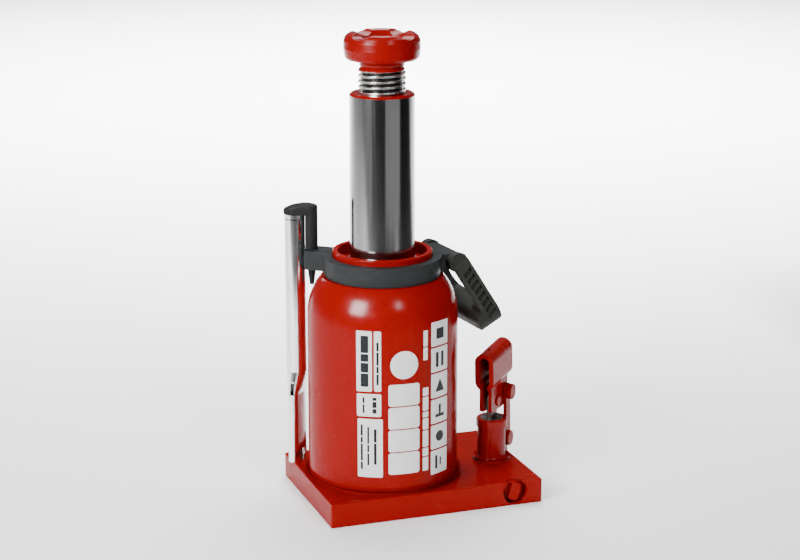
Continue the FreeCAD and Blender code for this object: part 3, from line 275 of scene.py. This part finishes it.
def chrome():
    """The pump handle's tube: bright plate with draw lines, handling marks and a slit under the cap,
    drawn as a dark line of painted shade.
    """
    s = Shade("chrome_plate", (0.86, 0.86, 0.87), metallic=1.0, roughness=0.08)
    s.soften(0.3 * MM)
    draw = s.noise(1.0, 2.0, 0.5, s.stretched((500.0, 500.0, 5.0)))
    smudge = s.noise(38.0, 4.0, 0.6)
    plate = s.mix(s.ramp(smudge, 0.45, 0.75), (0.88, 0.88, 0.89), (0.74, 0.74, 0.75))
    # The slit is painted shade: a near black line on one side of the tube, just under the cap, not a
    # cut.
    slit = TUBE_TOP - 5.0 * MM
    line = s.math("MULTIPLY", s.ramp(s.height(), slit, slit + 0.2 * MM),
                  s.ramp(s.height(), slit + 0.9 * MM, slit + 1.1 * MM, 1.0, 0.0))
    side = from_camera(-50.0, 0.0, 1.0)
    reach = TUBE.dot(side) + 4.0 * MM
    slit_shade = s.math("MULTIPLY", line, s.ramp(s.along(side), reach, reach + 0.8 * MM))
    s.color(s.mix(slit_shade, plate, (0.04, 0.04, 0.04)))
    s.roughness(s.ramp(smudge, 0.35, 0.75, 0.05, 0.16))
    s.bump(draw, 0.03, 0.05 * MM)
    return s.done()


def moulded(name, color, rough=0.5, grain=0.25):
    """Satin glass-filled nylon: fine spark-eroded grain, faint flow marks and scuffed edges."""
    s = Shade(name, color, roughness=rough)
    s.gloss(0.07)
    s.soften(0.6 * MM)
    pale = tuple(min(1.0, channel * 1.6 + 0.005) for channel in color)
    flow = s.noise(1.0, 3.0, 0.5, s.stretched((40.0, 40.0, 90.0)))
    tone = s.mix(s.math("MULTIPLY", s.ramp(flow, 0.4, 0.75), 0.3), color, pale)
    scuff = s.math("MULTIPLY", s.edges(0.8 * MM), s.ramp(s.noise(330.0, 3.0), 0.45, 0.7))
    s.color(s.mix(s.math("MULTIPLY", scuff, 0.5), tone, pale))
    s.roughness(s.ramp(s.noise(120.0, 4.0), 0.3, 0.7, rough - 0.08, rough + 0.1))
    s.bump(s.noise(1900.0, 2.0, 0.6), grain, 0.06 * MM)
    return s.done()


def rubber(name, color):
    s = Shade(name, color, roughness=0.7)
    s.soften(0.3 * MM)
    bloom = s.noise(150.0, 4.0)
    pale = tuple(channel + 0.03 for channel in color)
    s.color(s.mix(s.ramp(bloom, 0.45, 0.75), color, pale))
    s.roughness(s.ramp(bloom, 0.3, 0.7, 0.55, 0.8))
    s.bump(s.noise(1500.0, 2.0), 0.2, 0.05 * MM)
    return s.done()


def film(name, color):
    """Printed sticker film: slightly uneven ink under a thin gloss."""
    s = Shade(name, color, roughness=0.3)
    s.gloss(0.15)
    ink = s.noise(900.0, 2.0)
    age = s.noise(60.0, 3.0)
    dirty = tuple(channel * 0.86 for channel in color)
    s.color(s.mix(s.math("MULTIPLY", s.ramp(age, 0.4, 0.75), 0.6), color, dirty))
    s.roughness(s.ramp(ink, 0.3, 0.7, 0.24, 0.38))
    s.bump(age, 0.05, 0.1 * MM)
    return s.done()


# ------------------------------------------------------------------ mesh helpers

def new_object(name, mesh_data, material, smooth_angle=35.0):
    obj = bpy.data.objects.new(name, mesh_data)
    bpy.context.collection.objects.link(obj)
    obj.data.materials.append(material)
    obj.data.polygons.foreach_set("use_smooth", [True] * len(obj.data.polygons))
    if smooth_angle:
        obj.data.set_sharp_from_angle(angle=math.radians(smooth_angle))
    return obj


def mesh_from(name, points, faces):
    data = bpy.data.meshes.new(name)
    data.from_pydata([tuple(p) for p in points], [], faces)
    data.validate()
    work = bmesh.new()
    work.from_mesh(data)
    bmesh.ops.recalc_face_normals(work, faces=work.faces)
    work.to_mesh(data)
    work.free()
    return data


def grid_faces(rows, columns, closed_rows=True, closed_columns=True):
    """Quads between neighbouring points of a rows x columns grid."""
    faces = []
    for i in range(rows if closed_rows else rows - 1):
        for j in range(columns if closed_columns else columns - 1):
            a = i * columns + j
            b = i * columns + (j + 1) % columns
            c = ((i + 1) % rows) * columns + (j + 1) % columns
            d = ((i + 1) % rows) * columns + j
            faces.append((a, b, c, d))
    return faces


def lathe(name, outline, material, segments):
    """A closed outline of (radius, height) points turned round the jack's axis."""
    points = []
    for i in range(segments):
        angle = 2 * math.pi * i / segments
        for radius, z in outline:
            points.append((radius * math.cos(angle), radius * math.sin(angle), z))
    return new_object(name, mesh_from(name, points, grid_faces(segments, len(outline))), material)


def arc_points(centre_rz, radius, start, end, count):
    """Points on an arc in the (radius, height) plane, by angle in degrees."""
    points = []
    for i in range(count + 1):
        angle = math.radians(start + (end - start) * i / count)
        points.append((centre_rz[0] + radius * math.cos(angle), centre_rz[1] + radius * math.sin(angle)))
    return points


def riding(obj, body, slot, *replaced):
    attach(obj, body)
    if replaced:
        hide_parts(*replaced)
    return obj


# ------------------------------------------------------------------ pieces on the jack's body

def tank(material):
    """The tank shell as a smooth turned form, closed on the inside."""
    middle = TANK_R - SHOULDER_ROUND
    top_angle = math.degrees(math.asin((TANK_TOP - SHOULDER_Z) / SHOULDER_ROUND))
    outline = [(TANK_R - 4 * MM, BASE_HIGH.z), (TANK_R, BASE_HIGH.z)]
    outline += [(TANK_R, BASE_HIGH.z + (SHOULDER_Z - BASE_HIGH.z) * i / 12) for i in range(1, 12)]
    outline += arc_points((middle, SHOULDER_Z), SHOULDER_ROUND, 0.0, top_angle, 28)
    outline += [(TANK_LIP_R, TANK_TOP), (TANK_LIP_R, TANK_TOP - 4 * MM), (TANK_R - 6 * MM, SHOULDER_Z)]
    return riding(lathe("tank_shell", outline, material, 256), BODY, "red_tank", "reservoir_tank")


def filler_boss(material):
    """The welded ring that the filler plug sits in, lying flat on its side."""
    plug = centre("filler_plug")
    inner, ease, outer = 64.0 * MM, 71.4 * MM, 72.0 * MM
    rim, bore = 10.0 * MM, 6.5 * MM
    segments = 48
    rings = [(rim, inner), (rim, ease), (rim - 0.6 * MM, outer), (bore, outer), (bore, inner)]
    points = []
    for i in range(segments):
        angle = 2 * math.pi * i / segments
        for radius, y in rings:
            points.append((plug.x + radius * math.cos(angle), y, plug.z + radius * math.sin(angle)))
    data = mesh_from("filler_boss", points, grid_faces(segments, len(rings)))
    return riding(new_object("filler_boss", data, material), BODY, "red_tank")


WELD_BITE = 0.6 * MM        # how far the bead reaches into the foot it joins
WELD_SINK = 0.4 * MM        # and into the plate
RIPPLE_HEIGHT = 0.32 * MM


def weld_bead(name, material, at, radius, z, width, height, ripples, seed, slot, limit=None):
    """A run of weld round an upright foot: overlapping ripples with an uneven edge."""
    rng = random.Random(seed)
    phases = [(rng.uniform(0, 2 * math.pi), rng.randint(3, 17), rng.uniform(0.3, 1.0)) for _ in range(7)]
    columns = 14
    rows = ripples * 8
    points = []
    for i in range(rows):
        turn = 2 * math.pi * i / rows
        wander = sum(a * math.sin(k * turn + p) for p, k, a in phases) / 7
        scale = (i % 8) / 8.0
        ripple = 0.5 + 0.5 * math.sin(math.pi * scale)
        for j in range(columns):
            across = math.pi * j / (columns - 1)
            lean = 2 * math.pi * 0.35 / ripples * math.sin(across)
            out = (width * (1 + 0.13 * wander)) * (0.5 - 0.5 * math.cos(math.pi - across))
            up = 0.0
            if j < columns - 1:
                up = height * (1 + 0.12 * wander) * math.sin(across * 0.5 + math.pi / 2) ** 0.9
            bulge = RIPPLE_HEIGHT * ripple * math.sin(across)
            r = radius - WELD_BITE + out + bulge
            if limit:
                r = min(r, limit)
            angle = turn - lean
            rise = z - WELD_SINK + up + bulge * 0.6
            points.append((at[0] + r * math.cos(angle), at[1] + r * math.sin(angle), rise))
    data = mesh_from(name, points, grid_faces(rows, columns, True, False))
    return riding(new_object(name, data, material, 0.0), BODY, slot)


# ------------------------------------------------------------------ stickers

LABEL_R = TANK_R + 0.14 * MM


def on_tank(angle_deg, z, lift=0.0):
    angle = math.radians(angle_deg)
    return Vector(((LABEL_R + lift) * math.cos(angle), (LABEL_R + lift) * math.sin(angle), z))


def rounded_rectangle(low, high, corner):
    """Points round a rectangle with round corners; low and high are (arc length, height)."""
    points = []
    corners = ((high[0], high[1]), (low[0], high[1]), (low[0], low[1]), (high[0], low[1]))
    for quarter, (cx, cy) in enumerate(corners):
        middle_x = cx - corner if cx == high[0] else cx + corner
        middle_y = cy - corner if cy == high[1] else cy + corner
        for i in range(5):
            angle = math.radians(90 * quarter + 22.5 * i)
            points.append((middle_x + corner * math.cos(angle), middle_y + corner * math.sin(angle)))
    return points


def disc(at, radius, count=28):
    turns = [2 * math.pi * i / count for i in range(count)]
    return [(at[0] + radius * math.cos(turn), at[1] + radius * math.sin(turn)) for turn in turns]


def sticker(name, shapes, material, lift, slot, *replaced):
    """Flat shapes given as (arc length, height) outlines, wrapped on the tank as thin film."""
    work = bmesh.new()
    for outline in shapes:
        corners = [work.verts.new((x, y, 0.0)) for x, y in outline]
        work.faces.new(corners)
    bmesh.ops.recalc_face_normals(work, faces=work.faces)
    cuts = sorted({round(v.co.x / (1.5 * MM)) for v in work.verts})
    for step in range(cuts[0], cuts[-1] + 1):
        geometry = list(work.verts) + list(work.edges) + list(work.faces)
        bmesh.ops.bisect_plane(work, geom=geometry, plane_co=(step * 1.5 * MM, 0, 0), plane_no=(1, 0, 0))
    faces = list(work.faces)
    raised = bmesh.ops.extrude_face_region(work, geom=faces)["geom"]
    for vert in [g for g in raised if isinstance(g, bmesh.types.BMVert)]:
        vert.co.z += 0.06 * MM
    for vert in work.verts:
        turn = math.degrees(vert.co.x / TANK_R)
        vert.co = on_tank(turn, vert.co.y, lift + vert.co.z)
    bmesh.ops.recalc_face_normals(work, faces=work.faces)
    data = bpy.data.meshes.new(name)
    work.to_mesh(data)
    work.free()
    return riding(new_object(name, data, material, 30.0), BODY, slot, *replaced)


def arc_length(degrees):
    return TANK_R * math.radians(degrees)


def bars(columns, low, high, corner=0.3 * MM):
    """Broken lines of print turned on their side: each column is (start, end, lengths of its pieces)."""
    shapes = []
    for start, end, pieces in columns:
        gap = 1.1 * MM
        total = high - low - gap * (len(pieces) - 1)
        at = low
        for share in pieces:
            length = total * share / sum(pieces)
            low_corner, high_corner = (arc_length(start), at), (arc_length(end), at + length)
            shapes.append(rounded_rectangle(low_corner, high_corner, corner))
            at += length + gap
    return shapes


def stickers(white, ink):
    """The panels on the tank's front, with bars and plain signs in place of the printing."""
    panels = [(-128.8, -116.9, 121.5, 178.5), (-115.4, -110.1, 121.8, 178.5),
              (-128.5, -110.1, 97.8, 119.4), (-128.0, -109.0, 39.5, 95.6)]
    shapes = [rounded_rectangle((arc_length(a), low * MM), (arc_length(b), high * MM), 1.2 * MM)
              for a, b, low, high in panels]
    sticker("rating_panels", shapes, white, 0.0, "label_print", "rating_label")
    marks = bars([(-125.4, -119.6, (7, 5, 4, 9))], 126.0 * MM, 174.0 * MM, 0.9 * MM)
    marks += bars([(-113.6, -111.9, (5, 3, 6, 4))], 128.0 * MM, 168.0 * MM)
    marks += bars([(-124.0, -122.6, (3, 2)), (-116.6, -113.6, (3, 4, 2))], 101.0 * MM, 116.0 * MM)
    marks += bars([(-125.6, -124.0, (4, 9, 3, 6))], 47.0 * MM, 90.0 * MM)
    marks += bars([(-120.6, -119.2, (5, 3, 7))], 51.0 * MM, 88.0 * MM)
    marks += bars([(-115.6, -113.6, (8, 5))], 52.0 * MM, 86.0 * MM)
    sticker("rating_print", marks, ink, 0.07 * MM, "label_print")
    front_sticker(white, ink)


def front_sticker(white, ink):
    blocks = bars([(-104.8, -80.5, (1, 1, 1, 1))], 42.0 * MM, 128.0 * MM, 2.4 * MM)
    blocks += [disc((arc_length(-92.6), 146.0 * MM), 13.2 * MM, 48)]
    blocks += bars([(-77.6, -72.6, (5, 3, 6, 4, 2, 5, 3))], 42.0 * MM, 122.0 * MM, 0.8 * MM)
    blocks += bars([(-77.2, -73.4, (4, 5))], 148.0 * MM, 176.0 * MM, 0.7 * MM)
    sticker("front_blocks", blocks, white, 0.0, "label_print", "front_label")
    signs = []
    tiles = []
    low = 36.0 * MM
    step = 24.6 * MM
    for index in range(6):
        bottom = low + index * step
        top = bottom + step - 1.6 * MM
        tiles.append(rounded_rectangle((arc_length(-70.0), bottom), (arc_length(-51.6), top), 0.9 * MM))
        signs += sign(index, arc_length(-60.8), (bottom + top) / 2)
    sticker("sign_tiles", tiles, white, 0.0, "label_print")
    sticker("sign_print", signs, ink, 0.07 * MM, "label_print")


def sign(index, x, z):
    """One of six plain geometric signs, centred at (x, z)."""
    m = MM

    def bar(x0, z0, x1, z1):
        left, low, right, high = x + x0 * m, z + z0 * m, x + x1 * m, z + z1 * m
        return [(left, low), (right, low), (right, high), (left, high)]

    drawings = [
        [bar(-6, -6.5, -3, 6.5), bar(0, -4, 2, 4)],
        [disc((x, z), 5.2 * m)],
        [bar(-6, -6, 6, -3), bar(-1.5, -3, 1.5, 6)],
        [[(x - 6 * m, z - 6 * m), (x + 6 * m, z - 6 * m), (x, z + 6 * m)]],
        [bar(-5.5, -7, -2, 7), bar(1.5, -7, 5, 7)],
        [bar(-5, -5, 5, 5)]]
    return drawings[index]


# ------------------------------------------------------------------ studio

CAMERA_LENS = 91.88
CAMERA_AZIMUTH = math.radians(-19.46)
CAMERA_ELEVATION = math.radians(14.77)
CAMERA_DISTANCE = 1.94384
AIM_RIGHT = 16.22 * MM
AIM_UP = 200.93 * MM
WORLD_FRONT = 0.10
WORLD_BACK = 0.26
KEY_TURN = -39.0
KEY_RISE = 25.0


def view_axes():
    az, el = CAMERA_AZIMUTH, CAMERA_ELEVATION
    back = Vector((math.sin(az) * math.cos(el), -math.cos(az) * math.cos(el), math.sin(el)))
    right = Vector((math.cos(az), math.sin(az), 0.0))
    return right, back.cross(right), back


def camera():
    right, up, back = view_axes()
    data = bpy.data.cameras.new("view")
    data.lens = CAMERA_LENS
    data.sensor_width = 36.0
    data.clip_end = 20.0
    obj = bpy.data.objects.new("view", data)
    place = right * AIM_RIGHT + up * AIM_UP + back * CAMERA_DISTANCE
    obj.matrix_world = Matrix.Translation(place) @ Matrix((right, up, back)).transposed().to_4x4()
    bpy.context.collection.objects.link(obj)
    bpy.context.scene.camera = obj


def softbox(name, place, aim, size, power, spread=180.0):
    data = bpy.data.lights.new(name, "AREA")
    data.shape = "RECTANGLE"
    data.size, data.size_y = size
    data.energy = power
    data.spread = math.radians(spread)
    obj = bpy.data.objects.new(name, data)
    obj.location = place
    obj.rotation_euler = (Vector(aim) - Vector(place)).to_track_quat("-Z", "Y").to_euler()
    bpy.context.collection.objects.link(obj)
    return obj


def from_camera(turn, elevation, distance, height=0.0):
    """A place at an angle round the jack from the camera's side (positive to the image's right)."""
    angle = CAMERA_AZIMUTH - math.pi / 2 + math.radians(turn)
    level = distance * math.cos(math.radians(elevation))
    lift = distance * math.sin(math.radians(elevation))
    return Vector((level * math.cos(angle), level * math.sin(angle), height + lift))


def backdrop():
    """A room that is bright behind the jack and dim on the camera's side."""
    world = bpy.data.worlds.new("studio")
    bpy.context.scene.world = world
    world.use_nodes = True
    tree = world.node_tree
    background = tree.nodes["Background"]
    direction = tree.nodes.new("ShaderNodeTexCoord").outputs["Generated"]
    away = from_camera(180.0, 0.0, 1.0)
    facing = tree.nodes.new("ShaderNodeVectorMath")
    facing.operation = "DOT_PRODUCT"
    facing.inputs[1].default_value = away
    tree.links.new(direction, facing.inputs[0])
    fade = tree.nodes.new("ShaderNodeMapRange")
    fade.interpolation_type = "SMOOTHSTEP"
    fade.inputs["From Min"].default_value = -0.1
    fade.inputs["From Max"].default_value = 0.75
    fade.inputs["To Min"].default_value = WORLD_FRONT
    fade.inputs["To Max"].default_value = WORLD_BACK
    tree.links.new(facing.outputs["Value"], fade.inputs["Value"])
    tree.links.new(fade.outputs["Result"], background.inputs["Strength"])
    background.inputs["Color"].default_value = (1.0, 1.0, 1.0, 1.0)


def floor():
    """A pale sheet whose colour falls off into painted shade in front and to the right, outside the
    view.
    """
    s = Shade("studio_floor", (0.94, 0.94, 0.94), roughness=0.7, Specular_IOR_Level=0.1)
    front = s.along(from_camera(0.0, 0.0, 1.0))
    right = s.along(from_camera(100.0, 0.0, 1.0))
    # Painted shade: the sheet's colour turns near black in front and to the right.
    beside = s.math("MULTIPLY", s.ramp(right, 0.54, 0.80), s.ramp(front, -0.9, -0.6))
    shade = s.math("MAXIMUM", s.ramp(front, 0.50, 0.74), beside)
    pale = s.mix(s.noise(3.0), (0.95, 0.95, 0.95), (0.93, 0.93, 0.935))
    s.color(s.mix(shade, pale, (0.05, 0.05, 0.05)))
    work = bmesh.new()
    bmesh.ops.create_grid(work, x_segments=24, y_segments=24, size=6.0)
    data = bpy.data.meshes.new("floor")
    work.to_mesh(data)
    work.free()
    sheet = new_object("floor", data, s.done(), 0.0)
    sheet.location.z = -0.4 * MM


def studio():
    """Key and gleam from the upper left, a fill from the right, two lights for the sheet, two cards."""
    backdrop()
    floor()
    high = Vector((0.0, 0.0, 0.19))
    softbox("key", from_camera(KEY_TURN, KEY_RISE, 1.45, 0.19), high, (0.74, 0.54), 38.0)
    gleam = softbox("gleam", from_camera(KEY_TURN, KEY_RISE, 1.4, 0.19), high, (0.46, 0.58), 84.0)
    gleam.visible_diffuse = False
    softbox("front", from_camera(28.0, 32.0, 1.5, 0.2), high, (0.20, 0.34), 11.0)
    softbox("over", from_camera(180.0, 60.0, 1.3, 0.1), (0.0, 0.0, 0.1), (1.0, 0.8), 23.0)
    over_floor = from_camera(180.0, 0.0, 2.1, 2.4)
    softbox("behind", over_floor, from_camera(180.0, 0.0, 2.5), (2.6, 2.0), 300.0, 94.0)
    softbox("left_card", from_camera(-80.0, 0.0, 0.95, 0.10), (0.0, 0.0, 0.10), (1.9, 0.34), 0.8)
    softbox("right_card", from_camera(38.0, 0.0, 1.1, 0.05), (0.0, 0.0, 0.1), (1.1, 0.4), 0.9)


# ------------------------------------------------------------------ everything

def finish_cad_nodes(finishes):
    """Give every CAD node that stays its own material."""
    for node, obj in frame["nodes"].items():
        material = finishes[node]
        for slot in obj.material_slots:
            slot.material = material


def main():
    glossy = enamel("enamel_tank")
    plate = enamel("enamel_plate", peel=0.14, lumps=0.10, worn=0.35)
    cast = enamel("enamel_cast", peel=0.16, lumps=0.16, worn=0.25)
    sheet = enamel("enamel_sheet", peel=0.12, lumps=0.05, worn=0.3, gloss=0.15)
    crown = enamel("enamel_saddle", peel=0.16, lumps=0.30, worn=0.25, gloss=0.14)
    ram_steel = ground_bar()
    bright = plain_steel("turned_steel", (0.60, 0.60, 0.59), 0.18, 0.36)
    zinc = plain_steel("zinc_plate", (0.62, 0.63, 0.64), 0.22, 0.40)
    spring = plain_steel("spring_steel", (0.16, 0.16, 0.17), 0.30, 0.45)
    # The plunger's steel is darkened as painted shade, for the narrow gap between the lever's cheeks
    # where it shows.
    plunger_shade = plain_steel("plunger_shade_steel", (0.17, 0.165, 0.16), 0.24, 0.40)
    ball = plain_steel("bearing_steel", (0.72, 0.72, 0.73), 0.05, 0.10)
    collar_nylon = moulded("nylon_collar", (0.020, 0.022, 0.023), 0.42)
    bail_nylon = moulded("nylon_bail", (0.021, 0.022, 0.019), 0.38)
    cap_nylon = moulded("nylon_cap", (0.009, 0.0095, 0.010), 0.50)
    black = rubber("black_rubber", (0.02, 0.02, 0.021))
    seal = rubber("seal_polyurethane", (0.05, 0.045, 0.04))
    ptfe = rubber("seal_ptfe", (0.7, 0.68, 0.62))
    white = film("label_film_white", (0.68, 0.68, 0.67))
    ink = film("label_ink_dark", (0.012, 0.013, 0.016))

    by_slot = {
        "red_base": plate, "red_tank": glossy, "red_nut": cast, "red_saddle": crown, "red_pump": sheet,
        "red_lever": sheet, "red_pin": cast, "red_link": sheet, "red_valve": cast,
        "zinc_steel": zinc, "bearing_steel": ball, "spring_steel": spring, "honed_steel": bright,
        "ram_steel": ram_steel, "screw_steel": thread_steel(), "plunger_steel": plunger_shade,
        "chrome_tube": chrome(), "seal_rubber": seal, "black_rubber": black, "seal_plastic": ptfe,
        "grey_plastic": collar_nylon, "dark_plastic": bail_nylon, "cap_plastic": cap_nylon,
        "label_print": white}
    slots = {entry["node"]: entry["material_slot"] for entry in frame["record"]["subparts"]}
    finish_cad_nodes({node: by_slot[slot] for node, slot in slots.items()})

    tank(glossy)
    filler_boss(glossy)
    weld_bead("tank_weld", cast, (0.0, 0.0), TANK_R, BASE_HIGH.z, 4.4 * MM, 5.2 * MM, 150, 7, "red_tank",
              74.9 * MM)
    weld_bead("pump_weld", cast, (PUMP.x, PUMP.y), PUMP_R, BASE_HIGH.z, 4.6 * MM, 4.4 * MM, 34, 11,
              "red_pump")
    stickers(white, ink)
    camera()
    studio()


main()
